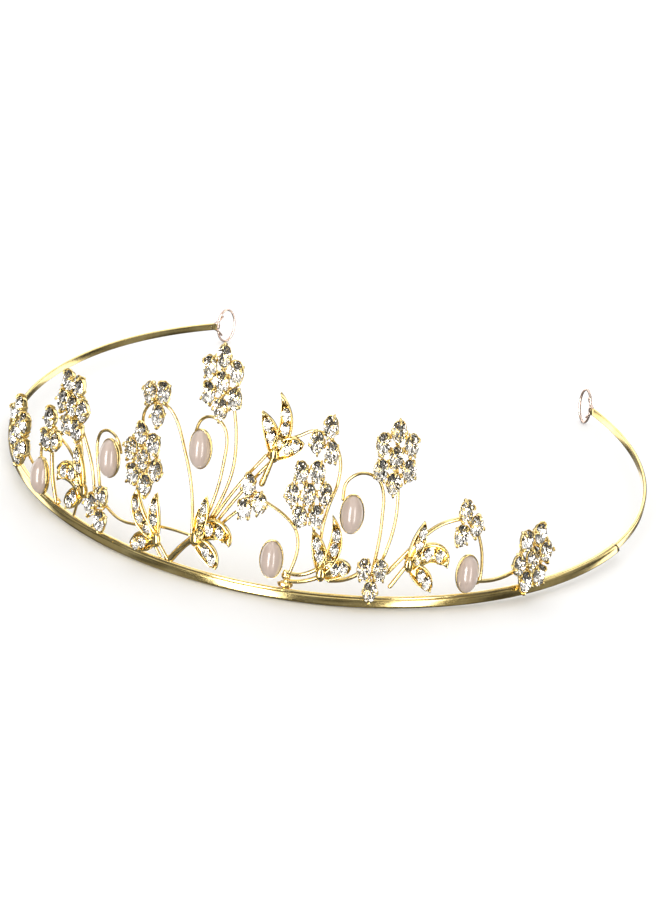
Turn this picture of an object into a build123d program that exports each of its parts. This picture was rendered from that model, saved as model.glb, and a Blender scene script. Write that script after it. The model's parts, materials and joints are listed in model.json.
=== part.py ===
"""Bridal tiara: a springy headband with a front of bent wire, claw-set flowers, leaf sprigs and pearls.

Millimetres, +Z up, the front faces -Y. The origin is the centre of the bounding box's base.
Everything is drawn round the middle of the headband's plan and set in its stance at the end.
Places on the front are given as (angle, height): the angle in degrees round the headband's
plan from the middle of the front, positive to +X, and the height above the headband's lower edge.
Ornaments are narrower across than they are tall, so each is drawn round and then squeezed.
"""

import os
from math import cos, hypot, radians, sin, tan

from build123d import *

# Stance: the tiara rests on the middle of the sleeve and on both end loops, which dip below it
STANCE_TILT = 1.55
STANCE_SHIFT = (0.0, 8.47, 1.845)

# Headband plan: two half ellipses that meet at the widest point
BAND_HALF_WIDTH = 70.0
BAND_FRONT_REACH = 66.0
BAND_REAR_REACH = 68.0
ARM_END_ANGLE = 138.0

# Headband core strip
CORE_HEIGHT = 1.7
CORE_LIFT = 0.35
CORE_INNER = -0.7
CORE_OUTER = 0.1

# Half-round sleeve over the front of the core
SLEEVE_HEIGHT = 2.4
SLEEVE_OUTER = 0.65
SLEEVE_END_ANGLE = 79.5
SLEEVE_ROUND = 0.55

# Rail wire in a groove on the sleeve's top edge
RAIL_RADIUS = 0.4
RAIL_HEIGHT = 2.45
RAIL_OUT = 0.25
RAIL_ANGLES = (-52.0, 53.0)

# End loops for hair grips
LOOP_HALF_WIDTH = 2.1
LOOP_HALF_HEIGHT = 4.1
LOOP_WIRE_RADIUS = 0.35

# Ornaments stand on a plane just outside the sleeve, and the wires lie close behind it
ORNAMENT_BACK = 0.67
SOLDER_GAP = 0.02
THIN_WIRE = 0.33
THICK_WIRE = 0.45
STALK_WIRE = 0.72

# Width of an ornament over its height
SQUEEZE = 0.57

# Claw cups of the flowers and trefoils
CUP_SPACING = 5.6
CUP_RIM = 2.84
CUP_FOOT = 1.9
CUP_DEPTH = 1.5
CLAW_RADIUS = 0.3
CLAW_REACH = 2.5
CLAW_FOOT = 0.7
CLAW_TIP = 2.2
CLUSTER_STONE = 2.4
CLUSTER_STONE_SEAT = 1.5

# Leaf sprigs
SPRIG_THICKNESS = 1.3
SPRIG_HUB = 1.9
LOBE_HALF_WIDTH = 2.3
LOBE_FOOT_HALF_WIDTH = 1.4
SPRIG_STONE = 1.45
SPRIG_STONE_SEAT = 1.05
STALK_HALF_WIDTH = 0.6

# Facets of a stone, as shares of its half height
STONE_SIDES = 8
TABLE_SHARE = 0.55
CULET_SHARE = 0.2
CROWN_SHARE = 0.3
GIRDLE_SHARE = 0.06
PAVILION_SHARE = 0.45

# Pearls and their cups
PEARL_HALF_WIDTH = 2.2
PEARL_HALF_HEIGHT = 4.1
PEARL_DEPTH = 2.4
PEARL_SEAT = 0.85
PEARL_CUP_HALF_WIDTH = 2.42
PEARL_CUP_HALF_HEIGHT = 4.35
PEARL_CUP_DEPTH = 1.15

SOLDER_RADIUS = 0.75

# Rows that the ornaments stand on: a crest line that falls to each side, and two level rows
CREST_HEIGHT = 46.0
CREST_FALL = 0.69
MIDDLE_ROW = 22.0
LOW_ROW = 9.0
RAIL_FOOT = 3.2


def crest(angle):
    """Height of the crest line at an angle."""
    return CREST_HEIGHT - CREST_FALL * abs(angle)


# Flowers and trefoils: angle, height, turn of the first stone round the cluster
FLOWERS = [
    (-48, crest(-48), 30),
    (-30, crest(-30) + 3, 0),
    (-14, MIDDLE_ROW + 2, -15),
    (-1, crest(-1), 30),
    (14, MIDDLE_ROW + 3, 5),
    (27, crest(27) + 7, 30),
    (53, crest(53), 10),
]
TREFOILS = [
    (-36, crest(-36) - 2, 100),
    (-23, LOW_ROW, -60),
    (-12, crest(-12), -80),
    (5, MIDDLE_ROW, -10),
    (16, crest(16) + 2, 190),
    (25, LOW_ROW - 1, -90),
    (40, crest(40) + 1, 110),
]
PEARLS = [
    (-39, LOW_ROW - 1.5),
    (-21, MIDDLE_ROW - 1),
    (-4, MIDDLE_ROW + 8),
    (9, LOW_ROW + 0.5),
    (21, MIDDLE_ROW - 0.5),
    (41, LOW_ROW - 1),
]

# One sprig pattern, cast six times. Each lobe: its direction from the long lobe in degrees,
# its length, its bow, where its first stone sits as a share of its midline, and its stones
SPRIG_LOBES = [
    (0, 13.4, 3.0, 0.17, 3),
    (70, 10.5, -0.5, 0.42, 2),
    (-33, 10.4, 0.8, 0.36, 2),
]
LOBE_START = 1.2
STONE_STEP = 3.2

# Sprigs: angle, height, direction of the long lobe, and hand (-1 is the mirrored casting)
SPRIGS = [
    (-27, LOW_ROW + 1.5, 183, -1),
    (-11, LOW_ROW - 2, 128, 1),
    (-4, LOW_ROW + 1, 2, 1),
    (8, MIDDLE_ROW + 10, 88, -1),
    (17, LOW_ROW - 1.5, 81, -1),
    (31, LOW_ROW + 1.5, -3, 1),
]
STALK_SPRIG = 4
STALK_END = (-1.9, -6.4)

STEM_STEPS = 4
HOOK_STEPS = 4


def near(place, across, up):
    """Stop beside an ornament: degrees towards +X and millimetres up from its middle."""
    return (place[0] + across, place[1] + up)


def stem(start, end, across=0.0, up=0.0):
    """Stops of a wire from start to end that bows across and up on its way; straight if neither."""
    if not (across or up):
        return [start, end]
    stops = []
    for step in range(STEM_STEPS + 1):
        share = step / STEM_STEPS
        bow = sin(radians(180 * share))
        angle = start[0] + (end[0] - start[0]) * share + across * bow
        height = start[1] + (end[1] - start[1]) * share + up * bow
        stops.append((angle, height))
    return stops


def hook(centre, half_width, half_height, first, last):
    """Stops of an oval bend round a place, between two directions in degrees from +X."""
    stops = []
    for step in range(HOOK_STEPS + 1):
        turn = radians(first + (last - first) * step / HOOK_STEPS)
        stops.append((centre[0] + half_width * cos(turn), centre[1] + half_height * sin(turn)))
    return stops


def hook_and_stem(bend, end, across):
    """Stops of a wire that leaves a hook and runs on to its end."""
    return bend + stem(bend[-1], end, across=across)[1:]


flower_1, flower_2, flower_3, flower_4, flower_5, flower_6, flower_7 = FLOWERS
trefoil_1, trefoil_2, trefoil_3, trefoil_4, trefoil_5, trefoil_6, trefoil_7 = TREFOILS
pearl_1, pearl_2, pearl_3, pearl_4, pearl_5, pearl_6 = PEARLS
sprig_1, sprig_2, sprig_3, sprig_4, sprig_5, sprig_6 = SPRIGS

left_arch_bend = hook(near(trefoil_3, 0, -6), 3.4, 5, 180, 30)
right_arch_bend = hook(near(trefoil_5, -1.8, -7), 4.4, 8.2, 130, -20)
pearl_2_bend = hook(near(pearl_2, -1.2, 1.5), 2.7, 3.7, 180, 0)
pearl_3_bend = hook(near(pearl_3, 1.3, 3), 2.7, 4, 0, 180)
pearl_5_bend = hook(near(pearl_5, 1.5, 4), 3.3, 4.6, 200, 0)

# Scroll wires: each node holds a wire radius and one or more routes of (angle, height) stops
WIRES = {
    "pearl_1_foot": (THICK_WIRE, [
        stem(near(trefoil_1, -1.5, -6), (-35.5, RAIL_FOOT), across=-0.5),
    ]),
    "left_end_stems": (THIN_WIRE, [
        stem(near(flower_1, -2, -3), near(pearl_1, -2, -1), up=-0.8),
        stem(near(trefoil_1, -4, -4.5), near(pearl_1, -2, 2), across=-0.8),
        stem(near(trefoil_1, 1, -1), near(sprig_1, -2, 3), up=1.2),
    ]),
    "flower_2_stems": (THIN_WIRE, [
        stem(near(flower_2, 0, -4), near(sprig_1, -1.5, -1), across=0.8),
        stem(near(sprig_1, -1.5, -1), (-30, RAIL_FOOT)),
        stem(near(flower_2, 0.6, -4), near(trefoil_2, -2, 1.5), across=1),
    ]),
    "pearl_2_curl": (THIN_WIRE, [[near(trefoil_2, -0.5, 1.5), *pearl_2_bend]]),
    "left_link": (THIN_WIRE, [
        stem(near(trefoil_2, 0, 1), near(sprig_2, -5, 1), up=-1.2)
        + stem(near(sprig_2, -5, 1), near(sprig_3, -1.2, 0), up=0.8)[1:],
    ]),
    "sprig_2_struts": (THIN_WIRE, [
        stem(near(sprig_2, -0.4, 0), (-9, RAIL_FOOT)),
        stem(near(sprig_2, -1.3, -0.6), (-10.4, RAIL_FOOT)),
    ]),
    "sprig_3_stalk": (STALK_WIRE, [stem((-8.6, RAIL_FOOT), near(sprig_3, -0.8, -0.8), up=0.4)]),
    "left_arch": (THIN_WIRE, [
        [near(flower_3, -0.5, 3.5), *hook_and_stem(left_arch_bend, near(sprig_3, -0.9, 0.2), 1.2)],
    ]),
    "pearl_3_curl": (THIN_WIRE, [
        stem(near(sprig_3, 0.6, 1.8), pearl_3_bend[0], across=0.8) + pearl_3_bend[1:],
    ]),
    "flower_4_stem": (THIN_WIRE, [stem(near(sprig_3, 1, 2), near(flower_4, 1.5, -3.5), across=2.6)]),
    "fan_stems": (THIN_WIRE, [
        stem(near(sprig_3, 1.6, 2), near(sprig_4, -1.4, -0.8), across=-0.6),
        stem(near(sprig_3, 2.2, 2), near(sprig_4, -0.6, -2), across=-0.4),
        stem(near(sprig_3, 2.8, 2), near(trefoil_4, -0.6, -2), up=0.6),
    ]),
    "trefoil_4_arch": (THIN_WIRE, [stem(near(trefoil_4, 0.5, 0), near(pearl_4, 3, -3), across=3.6, up=2)]),
    "trefoil_5_arch": (THIN_WIRE, [
        [near(sprig_4, 0.6, 3), *hook_and_stem(right_arch_bend, near(sprig_5, -0.4, 1.8), -0.8)],
        stem(near(flower_5, 0.2, -4), near(sprig_5, -1.4, 3), across=0.5),
    ]),
    "sprig_5_bridges": (THICK_WIRE, [
        stem(near(pearl_4, 2.2, -3), near(sprig_5, -0.8, 0.4), up=-1),
        stem(near(pearl_4, 2.4, -5), near(sprig_5, -0.2, -1.2), up=-0.6),
        stem(near(sprig_5, 1.4, -1.8), near(trefoil_6, -1.2, 0.4), up=-0.8),
    ]),
    "pearl_5_curl": (THIN_WIRE, [hook_and_stem(pearl_5_bend, near(trefoil_6, 0.2, 0.4), 0.4)]),
    "flower_6_stem": (THIN_WIRE, [
        stem(near(flower_6, 0.5, -3), near(trefoil_6, 1, 0.4), across=1.4),
    ]),
    "sprig_6_links": (THICK_WIRE, [
        stem(near(trefoil_6, 2.7, 0.2), near(sprig_6, 0, 2.8)),
        stem(near(trefoil_6, 3.4, -2.9), near(sprig_6, 0.2, 0.2)),
        stem(near(sprig_6, 0.2, 3.2), near(trefoil_7, -1, 0.4), up=1.6),
    ]),
    "pearl_6_stem": (THIN_WIRE, [stem(near(trefoil_7, 1.4, 0), near(pearl_6, 3, -2.5), across=0.9)]),
    "flower_7_stem": (THICK_WIRE, [
        stem(near(pearl_6, 1.8, -2.6), near(flower_7, -0.4, -2.2), up=-1.2),
    ]),
}

# Solder lumps behind the joints
SOLDER_SPOTS = [
    (-35.5, RAIL_FOOT),
    near(pearl_1, -2, 0),
    near(trefoil_2, 0, 0),
    (-9, RAIL_FOOT),
    near(sprig_3, -0.4, 0),
    near(sprig_3, 1.4, 2.4),
    near(trefoil_4, 0, 0),
    near(sprig_4, -0.8, -0.8),
    near(pearl_4, 2.4, -6),
    near(pearl_4, 2.4, -4),
    near(sprig_5, 0, 0),
    near(trefoil_6, 0.4, 0),
    near(sprig_6, -0.4, 1.4),
    near(pearl_6, 2.4, -2.8),
]


def band_reach(angle):
    """Front or rear reach of the plan, for a place at this angle."""
    return BAND_FRONT_REACH if cos(radians(angle)) > 0 else BAND_REAR_REACH


def band_plane(angle, height, out=0.0):
    """Plane on the headband: x along it towards +X side, y up, z outward."""
    sine = sin(radians(angle))
    cosine = cos(radians(angle))
    reach = band_reach(angle)
    tangent = Vector(BAND_HALF_WIDTH * cosine, reach * sine, 0).normalized()
    outward = tangent.cross(Vector(0, 0, 1))
    foot = Vector(BAND_HALF_WIDTH * sine, -reach * cosine, height)
    return Plane(origin=foot + outward * out, x_dir=tangent, z_dir=outward)


def band_arcs(offset, end_angle):
    """Arcs of the plan moved outward by offset, from -end_angle to end_angle."""
    centre = (0, 0)
    across = BAND_HALF_WIDTH + offset
    front = BAND_FRONT_REACH + offset
    rear = BAND_REAR_REACH + offset
    if end_angle <= 90:
        EllipticalCenterArc(centre, across, front, start_angle=-90 - end_angle, arc_size=2 * end_angle)
        return
    EllipticalCenterArc(centre, across, front, start_angle=-180, arc_size=180)
    EllipticalCenterArc(centre, across, rear, start_angle=0, arc_size=end_angle - 90)
    EllipticalCenterArc(centre, across, rear, start_angle=180, arc_size=90 - end_angle)


def plan_point(offset, angle):
    """Point of the plan moved outward by offset, at an angle from the front."""
    reach = band_reach(angle) + offset
    across = BAND_HALF_WIDTH + offset
    return (across * sin(radians(angle)), -reach * cos(radians(angle)))


def band_strip(inner, outer, end_angle):
    """Plan of a strip between two offsets of the headband's plan line, as a sketch."""
    with BuildLine() as outline:
        band_arcs(inner, end_angle)
        band_arcs(outer, end_angle)
        for angle in (-end_angle, end_angle):
            Line(plan_point(inner, angle), plan_point(outer, angle))
    make_face(outline.edges())


def corner_radii(points):
    """Largest fair bend at each stop of a route: 0.45 of the shorter run beside it."""
    radii = []
    for before, corner, after in zip(points, points[1:], points[2:]):
        run_in = corner - before
        run_out = after - corner
        half_turn = radians(run_in.get_angle(run_out) / 2)
        radii.append(0.45 * min(run_in.length, run_out.length) / tan(half_turn))
    return radii


def wire_route(stops, wire_radius):
    """Straight runs joined by tangent arcs, close behind the ornaments."""
    wire_out = ORNAMENT_BACK - SOLDER_GAP - wire_radius
    points = [band_plane(angle, height, wire_out).origin for angle, height in stops]
    if len(points) == 2:
        Line(*points)
    else:
        FilletPolyline(*points, radius=corner_radii(points))


def cluster_spots(turn, count):
    """Places of the outer cups of a cluster, squeezed across."""
    spread = CUP_SPACING if count == 6 else CUP_SPACING / (2 * sin(radians(180 / count)))
    angles = [radians(turn + 360 / count * step) for step in range(count)]
    return [(SQUEEZE * spread * cos(angle), spread * sin(angle)) for angle in angles]


def stone_outline(half_height):
    """Corners of a squeezed octagon."""
    corner_angles = [radians(360 / STONE_SIDES * (step + 0.5)) for step in range(STONE_SIDES)]
    return [(SQUEEZE * half_height * cos(a), half_height * sin(a)) for a in corner_angles]


def cut_stone(half_height):
    """Faceted stone with its girdle on the XY plane and its table towards +Z."""
    levels = [
        (-PAVILION_SHARE, CULET_SHARE),
        (-GIRDLE_SHARE, 1.0),
        (0.0, 1.0),
        (CROWN_SHARE, TABLE_SHARE),
    ]
    with BuildPart() as stone:
        for (low, low_share), (high, high_share) in zip(levels, levels[1:]):
            for level, share in ((low, low_share), (high, high_share)):
                with BuildSketch(Plane.XY.offset(level * half_height)):
                    Polygon(*stone_outline(half_height * share), align=None)
            loft(ruled=True)
    return stone.part


def claw_cup(stone):
    """Tapered oval cup with four claws, cut to fit a stone."""
    with BuildPart() as cup:
        with BuildSketch():
            Ellipse(SQUEEZE * CUP_FOOT, CUP_FOOT)
        with BuildSketch(Plane.XY.offset(CUP_DEPTH)):
            Ellipse(SQUEEZE * CUP_RIM, CUP_RIM)
        loft()
        with BuildSketch(Plane.XY.offset(CLAW_FOOT)):
            with Locations(*cluster_claws()):
                Circle(CLAW_RADIUS)
        extrude(amount=CLAW_TIP - CLAW_FOOT)
        with Locations((0, 0, CLUSTER_STONE_SEAT)):
            add(stone, mode=Mode.SUBTRACT)
    return cup.part


def cluster_claws():
    """Places of the four claws round a cup."""
    angles = [radians(45 + 90 * step) for step in range(4)]
    return [(SQUEEZE * CLAW_REACH * cos(a), CLAW_REACH * sin(a)) for a in angles]


def beside(spot, start, end, distance):
    """Point to the left of a spot, looking from start to end, in the squeezed drawing."""
    along = ((end[0] - start[0]) / SQUEEZE, end[1] - start[1])
    length = hypot(*along)
    return (
        spot[0] - SQUEEZE * distance * along[1] / length,
        spot[1] + distance * along[0] / length,
    )


def lobe_face(foot, middle, tip):
    """Lobe between two arcs, blunt at its foot and pointed at its tip, as a sketch."""
    with BuildLine() as outline:
        for side in (1, -1):
            root = beside(foot, foot, middle, side * LOBE_FOOT_HALF_WIDTH)
            ThreePointArc(root, beside(middle, foot, tip, side * LOBE_HALF_WIDTH), tip)
        Line(*[beside(foot, foot, middle, side * LOBE_FOOT_HALF_WIDTH) for side in (1, -1)])
    make_face(outline.edges())


def lobe_marks(turn, hand, lobe):
    """Foot, middle and tip of a lobe in the squeezed drawing."""
    offset, length, bow, _, _ = lobe
    direction = radians(turn + hand * offset)
    marks = []
    for along, aside in ((LOBE_START, 0.0), ((LOBE_START + length) / 2, hand * bow), (length, 0.0)):
        across = along * cos(direction) - aside * sin(direction)
        up = along * sin(direction) + aside * cos(direction)
        marks.append((SQUEEZE * across, up))
    return marks


def lobe_stones(turn, hand, lobe):
    """Places of a lobe's stones along its midline."""
    _, length, _, first, count = lobe
    midline = ThreePointArc(*lobe_marks(turn, hand, lobe), mode=Mode.PRIVATE)
    return [midline @ (first + STONE_STEP / length * number) for number in range(count)]


def sprig_seats(turn, hand, level):
    """Places of all the stones of a sprig, at one level."""
    spots = [spot for lobe in SPRIG_LOBES for spot in lobe_stones(turn, hand, lobe)]
    return [Vector(spot.X, spot.Y, level) for spot in spots]


pieces = {}


def finish(name, builder):
    """Label a finished piece and keep it for export."""
    builder.part.label = name
    pieces[name] = builder


# ---- Headband ----------------------------------------------------------------

with BuildPart() as headband_core:
    with BuildSketch(Plane.XY.offset(CORE_LIFT)):
        band_strip(CORE_INNER, CORE_OUTER, ARM_END_ANGLE)
    extrude(amount=CORE_HEIGHT)
finish("headband_core", headband_core)

with BuildPart() as base_rail:
    with BuildLine(Plane.XY.offset(RAIL_HEIGHT)) as rail_path:
        EllipticalCenterArc(
            (0, 0),
            BAND_HALF_WIDTH + RAIL_OUT,
            BAND_FRONT_REACH + RAIL_OUT,
            start_angle=RAIL_ANGLES[0] - 90,
            arc_size=RAIL_ANGLES[1] - RAIL_ANGLES[0],
        )
    with BuildSketch(Plane(origin=rail_path.line @ 0, z_dir=rail_path.line % 0)):
        Circle(RAIL_RADIUS)
    sweep(path=rail_path.line)
finish("base_rail", base_rail)

with BuildPart() as front_sleeve:
    with BuildSketch():
        band_strip(CORE_INNER, SLEEVE_OUTER, SLEEVE_END_ANGLE)
    extrude(amount=SLEEVE_HEIGHT)
    for level in (0, -1):
        outer_edge = front_sleeve.edges().group_by(Axis.Z)[level].sort_by(SortBy.LENGTH)[-1]
        fillet(outer_edge, SLEEVE_ROUND)
    add(headband_core.part, mode=Mode.SUBTRACT)
    add(base_rail.part, mode=Mode.SUBTRACT)
finish("front_sleeve", front_sleeve)

core_mid_height = CORE_LIFT + CORE_HEIGHT / 2
core_mid_out = (CORE_INNER + CORE_OUTER) / 2
for side, side_name in ((-1, "left"), (1, "right")):
    arm_end = band_plane(side * ARM_END_ANGLE, core_mid_height, core_mid_out)
    loop_centre = arm_end.origin + arm_end.x_dir * side * (LOOP_HALF_WIDTH + LOOP_WIRE_RADIUS)
    loop_plane = Plane(origin=loop_centre, x_dir=arm_end.x_dir, z_dir=arm_end.z_dir)
    with BuildPart() as end_loop:
        with BuildLine(loop_plane) as loop_path:
            EllipticalCenterArc((0, 0), LOOP_HALF_WIDTH, LOOP_HALF_HEIGHT, arc_size=360)
        with BuildSketch(Plane(origin=loop_path.line @ 0, z_dir=loop_path.line % 0)):
            Circle(LOOP_WIRE_RADIUS)
        sweep(path=loop_path.line)
    finish(f"end_loop_{side_name}", end_loop)

# ---- Claw-set clusters ---------------------------------------------------------

cluster_stone = cut_stone(CLUSTER_STONE)
set_cup = claw_cup(cluster_stone)

for kind, places, petals in (("flower", FLOWERS, 6), ("trefoil", TREFOILS, 3)):
    for number, (angle, height, turn) in enumerate(places, start=1):
        spots = cluster_spots(turn, petals)
        if petals == 6:
            spots.append((0, 0))
        with BuildPart(band_plane(angle, height, ORNAMENT_BACK)) as setting:
            with Locations(*spots):
                add(set_cup)
        finish(f"{kind}_{number}_setting", setting)

for kind, places, petals in (("flower", FLOWERS, 6), ("trefoil", TREFOILS, 3)):
    with BuildPart() as stones:
        for angle, height, turn in places:
            spots = cluster_spots(turn, petals)
            if petals == 6:
                spots.append((0, 0))
            with Locations(band_plane(angle, height, ORNAMENT_BACK + CLUSTER_STONE_SEAT)):
                with Locations(*spots):
                    add(cluster_stone)
    finish(f"{kind}_stones", stones)

# ---- Leaf sprigs ---------------------------------------------------------------

sprig_stone = cut_stone(SPRIG_STONE)

for number, (angle, height, turn, hand) in enumerate(SPRIGS, start=1):
    sprig_plane = band_plane(angle, height, ORNAMENT_BACK)
    seats = sprig_seats(turn, hand, SPRIG_STONE_SEAT)
    with BuildPart(sprig_plane) as casting:
        with BuildSketch(sprig_plane):
            Ellipse(SQUEEZE * SPRIG_HUB, SPRIG_HUB)
            for lobe in SPRIG_LOBES:
                lobe_face(*lobe_marks(turn, hand, lobe))
            if number == STALK_SPRIG:
                with BuildLine():
                    Polyline(
                        (-STALK_HALF_WIDTH, 0),
                        (STALK_END[0] - STALK_HALF_WIDTH, STALK_END[1]),
                        (STALK_END[0] + STALK_HALF_WIDTH, STALK_END[1]),
                        (STALK_HALF_WIDTH, 0),
                        close=True,
                    )
                make_face()
        extrude(amount=SPRIG_THICKNESS)
        with Locations(*seats):
            add(sprig_stone, mode=Mode.SUBTRACT)
    finish(f"sprig_{number}_casting", casting)

with BuildPart() as sprig_stones:
    for angle, height, turn, hand in SPRIGS:
        with Locations(band_plane(angle, height, ORNAMENT_BACK)):
            with Locations(*sprig_seats(turn, hand, SPRIG_STONE_SEAT)):
                add(sprig_stone)
finish("sprig_stones", sprig_stones)

# ---- Pearls --------------------------------------------------------------------

with BuildPart() as pearl_blank:
    Sphere(1)
    split(bisect_by=Plane.XY, keep=Keep.TOP)
    scale(by=(PEARL_HALF_WIDTH, PEARL_HALF_HEIGHT, PEARL_DEPTH))

with BuildPart() as cup_blank:
    with BuildSketch():
        Ellipse(PEARL_CUP_HALF_WIDTH, PEARL_CUP_HALF_HEIGHT)
    extrude(amount=PEARL_CUP_DEPTH)
    with Locations((0, 0, PEARL_SEAT)):
        add(pearl_blank.part, mode=Mode.SUBTRACT)

for number, (angle, height) in enumerate(PEARLS, start=1):
    with BuildPart(band_plane(angle, height, ORNAMENT_BACK)) as pearl_cup:
        add(cup_blank.part)
    finish(f"pearl_{number}_cup", pearl_cup)
    with BuildPart(band_plane(angle, height, ORNAMENT_BACK + PEARL_SEAT)) as pearl:
        add(pearl_blank.part)
    finish(f"pearl_{number}", pearl)

# ---- Scroll wires and solder -----------------------------------------------------

for name, (wire_radius, routes) in WIRES.items():
    with BuildPart() as wires:
        for stops in routes:
            with BuildLine() as route:
                wire_route(stops, wire_radius)
            with BuildSketch(Plane(origin=route.line @ 0, z_dir=route.line % 0)):
                Circle(wire_radius)
            sweep(path=route.line)
    finish(name, wires)

with BuildPart() as solder_joints:
    for angle, height in SOLDER_SPOTS:
        with Locations(band_plane(angle, height, ORNAMENT_BACK - SOLDER_GAP - SOLDER_RADIUS)):
            Sphere(SOLDER_RADIUS)
finish("solder_joints", solder_joints)

# ---- Export ----------------------------------------------------------------------

stance = Pos(*STANCE_SHIFT) * Rot(X=STANCE_TILT)
os.makedirs("parts", exist_ok=True)
for name, piece in pieces.items():
    piece.part.location = stance
    export_step(piece.part, f"parts/{name}.step")
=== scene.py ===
"""Looks of the bridal tiara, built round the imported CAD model.

Places on the tiara are given as (angle, height) in degrees and millimetres: the angle round the
headband's plan from the middle of the front, positive to +X, and the height above the band's lower
edge. Every shape is worked out in millimetres in that plan and then set in the tiara's stance.
"""

import json
from math import atan2, cos, hypot, pi, radians, sin

import bpy
from mathutils import Matrix, Vector, noise

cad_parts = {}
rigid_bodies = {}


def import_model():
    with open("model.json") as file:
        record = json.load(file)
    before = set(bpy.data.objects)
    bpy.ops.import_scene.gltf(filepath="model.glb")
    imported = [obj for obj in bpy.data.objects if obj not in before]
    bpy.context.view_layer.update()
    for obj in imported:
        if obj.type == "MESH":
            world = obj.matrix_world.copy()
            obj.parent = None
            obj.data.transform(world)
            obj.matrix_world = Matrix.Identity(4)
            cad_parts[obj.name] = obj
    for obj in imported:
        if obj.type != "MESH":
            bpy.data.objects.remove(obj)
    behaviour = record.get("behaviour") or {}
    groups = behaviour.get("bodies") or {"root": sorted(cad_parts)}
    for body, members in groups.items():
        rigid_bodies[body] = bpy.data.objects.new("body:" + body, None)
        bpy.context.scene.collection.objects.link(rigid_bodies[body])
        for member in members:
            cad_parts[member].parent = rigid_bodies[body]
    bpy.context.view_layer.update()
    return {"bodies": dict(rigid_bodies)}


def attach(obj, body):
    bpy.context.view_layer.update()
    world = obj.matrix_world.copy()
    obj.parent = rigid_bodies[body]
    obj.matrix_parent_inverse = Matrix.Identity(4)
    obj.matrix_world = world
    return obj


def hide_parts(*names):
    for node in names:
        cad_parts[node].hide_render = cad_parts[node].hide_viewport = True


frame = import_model()
BODY = next(iter(frame["bodies"]))

# ---- Sizes shared with the CAD source, in millimetres and degrees -----------------------

STANCE_TILT = 1.55
STANCE_SHIFT = Vector((0.0, 8.47, 1.845))
BAND_HALF_WIDTH = 70.0
BAND_FRONT_REACH = 66.0
BAND_REAR_REACH = 68.0
ARM_END_ANGLE = 138.0
CORE_HEIGHT = 1.7
CORE_LIFT = 0.35
CORE_INNER = -0.7
CORE_OUTER = 0.1
SLEEVE_HEIGHT = 2.4
SLEEVE_OUTER = 0.65
SLEEVE_END_ANGLE = 79.5
RAIL_RADIUS = 0.4
RAIL_HEIGHT = 2.45
RAIL_OUT = 0.25
RAIL_ANGLES = (-52.0, 53.0)
LOOP_HALF_WIDTH = 2.1
LOOP_HALF_HEIGHT = 4.1
LOOP_WIRE_RADIUS = 0.35
ORNAMENT_BACK = 0.67
SOLDER_GAP = 0.02
THIN_WIRE = 0.33
THICK_WIRE = 0.45
STALK_WIRE = 0.72
SQUEEZE = 0.57
CUP_SPACING = 5.6
CLUSTER_STONE = 2.4
CLUSTER_STONE_SEAT = 1.5
SPRIG_THICKNESS = 1.3
LOBE_HALF_WIDTH = 2.3
LOBE_FOOT_HALF_WIDTH = 1.4
SPRIG_STONE = 1.45
SPRIG_STONE_SEAT = 1.05
PEARL_HALF_WIDTH = 2.2
PEARL_HALF_HEIGHT = 4.1
PEARL_DEPTH = 2.4
PEARL_SEAT = 0.85
PEARL_CUP_HALF_WIDTH = 2.42
PEARL_CUP_HALF_HEIGHT = 4.35

# Rows that the ornaments stand on: a crest line that falls to each side, and two level rows
CREST_HEIGHT = 46.0
CREST_FALL = 0.69
MIDDLE_ROW = 22.0
LOW_ROW = 9.0
RAIL_FOOT = 3.2


def crest(angle):
    """Height of the crest line at an angle."""
    return CREST_HEIGHT - CREST_FALL * abs(angle)


# Flowers and trefoils: angle, height, turn of the first stone round the cluster
FLOWERS = [
    (-48, crest(-48), 30),
    (-30, crest(-30) + 3, 0),
    (-14, MIDDLE_ROW + 2, -15),
    (-1, crest(-1), 30),
    (14, MIDDLE_ROW + 3, 5),
    (27, crest(27) + 7, 30),
    (53, crest(53), 10),
]
TREFOILS = [
    (-36, crest(-36) - 2, 100),
    (-23, LOW_ROW, -60),
    (-12, crest(-12), -80),
    (5, MIDDLE_ROW, -10),
    (16, crest(16) + 2, 190),
    (25, LOW_ROW - 1, -90),
    (40, crest(40) + 1, 110),
]
PEARLS = [
    (-39, LOW_ROW - 1.5),
    (-21, MIDDLE_ROW - 1),
    (-4, MIDDLE_ROW + 8),
    (9, LOW_ROW + 0.5),
    (21, MIDDLE_ROW - 0.5),
    (41, LOW_ROW - 1),
]

# One sprig pattern, cast six times. Each lobe: its direction from the long lobe in degrees,
# its length, its bow, where its first stone sits as a share of its midline, and its stones
SPRIG_LOBES = [
    (0, 13.4, 3.0, 0.17, 3),
    (70, 10.5, -0.5, 0.42, 2),
    (-33, 10.4, 0.8, 0.36, 2),
]
LOBE_START = 1.2
STONE_STEP = 3.2

# Sprigs: angle, height, direction of the long lobe, and hand (-1 is the mirrored casting)
SPRIGS = [
    (-27, LOW_ROW + 1.5, 183, -1),
    (-11, LOW_ROW - 2, 128, 1),
    (-4, LOW_ROW + 1, 2, 1),
    (8, MIDDLE_ROW + 10, 88, -1),
    (17, LOW_ROW - 1.5, 81, -1),
    (31, LOW_ROW + 1.5, -3, 1),
]
STALK_SPRIG = 4
STALK_END = (-1.9, -6.4)

STEM_STEPS = 4
HOOK_STEPS = 4


def near(place, across, up):
    """Stop beside an ornament: degrees towards +X and millimetres up from its middle."""
    return (place[0] + across, place[1] + up)


def stem(start, end, across=0.0, up=0.0):
    """Stops of a wire from start to end that bows across and up on its way; straight if neither."""
    if not (across or up):
        return [start, end]
    stops = []
    for step in range(STEM_STEPS + 1):
        share = step / STEM_STEPS
        bow = sin(radians(180 * share))
        angle = start[0] + (end[0] - start[0]) * share + across * bow
        height = start[1] + (end[1] - start[1]) * share + up * bow
        stops.append((angle, height))
    return stops


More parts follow.
